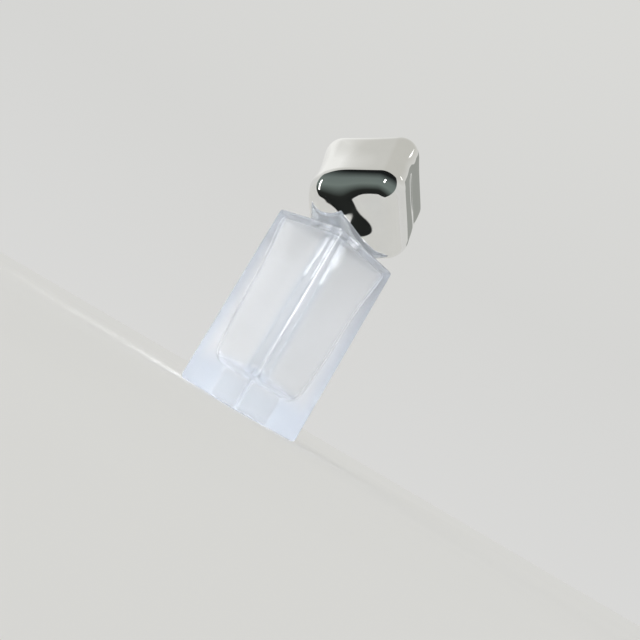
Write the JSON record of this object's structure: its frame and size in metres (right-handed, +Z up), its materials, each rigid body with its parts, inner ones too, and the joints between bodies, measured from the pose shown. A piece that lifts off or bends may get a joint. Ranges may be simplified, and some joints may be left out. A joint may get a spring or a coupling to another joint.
{
  "type": "perfume atomiser bottle",
  "caption": "Square thick-walled frosted glass perfume bottle with a crimped spray pump and a mirror-finished soft cube cap standing on one corner.",
  "frame": {"origin": "centre of the bottle's flat base", "axes": "+Z up along the bottle's axis; +X and -Y are the normals of the glass body's right and left faces as first seen, and the spray nozzle points to -Y"},
  "size_m": [0.0514, 0.0529, 0.1299],
  "materials": {
    "frosted_glass": "satin",
    "mirror_chrome": "polished",
    "bright_aluminium": "gloss",
    "satin_aluminium": "satin",
    "white_plastic": "satin",
    "clear_plastic": "gloss",
    "gasket_rubber": "matte",
    "steel": "polished"
  },
  "bodies": {
    "bottle": {"glass_bottle": "frosted_glass", "neck_gasket": "gasket_rubber", "ferrule": "satin_aluminium", "turret": "white_plastic", "stem_gasket": "gasket_rubber", "pump_housing": "white_plastic", "dip_tube": "clear_plastic", "pump_spring": "steel"},
    "collar": {"collar_liner": "white_plastic", "collar_sleeve": "bright_aluminium"},
    "cap": {"cap_shell": "mirror_chrome", "cap_liner": "white_plastic"},
    "stem": {"stem": "white_plastic"},
    "piston": {"piston": "clear_plastic"},
    "button": {"actuator_core": "white_plastic", "actuator_shell": "bright_aluminium", "nozzle_insert": "white_plastic"},
    "ball": {"inlet_ball": "steel"}
  },
  "joints": [
    {"name": "collar_turn", "type": "hinge", "parent": "bottle", "child": "collar", "pos_m": [0, 0, 0.0845], "axis": [0, 0, 1], "continuous": true},
    {"name": "cap_lift", "type": "slide", "parent": "collar", "child": "cap", "axis": [0, 0, 1], "range_m": [0, 0.05]},
    {"name": "pump_stroke", "type": "slide", "parent": "bottle", "child": "stem", "axis": [0, 0, 1], "range_m": [-0.0042, 0], "stiffness_N_per_m": 1200, "springref_m": 0.004, "deforming": ["pump_spring"]},
    {"name": "piston_slip", "type": "slide", "parent": "stem", "child": "piston", "axis": [0, 0, 1], "range_m": [0, 0.0005]},
    {"name": "button_turn", "type": "hinge", "parent": "stem", "child": "button", "pos_m": [0, 0, 0.0985], "axis": [0, 0, 1], "continuous": true},
    {"name": "ball_lift", "type": "slide", "parent": "bottle", "child": "ball", "axis": [0, 0, 1], "range_m": [0, 0.001]}
  ]
}
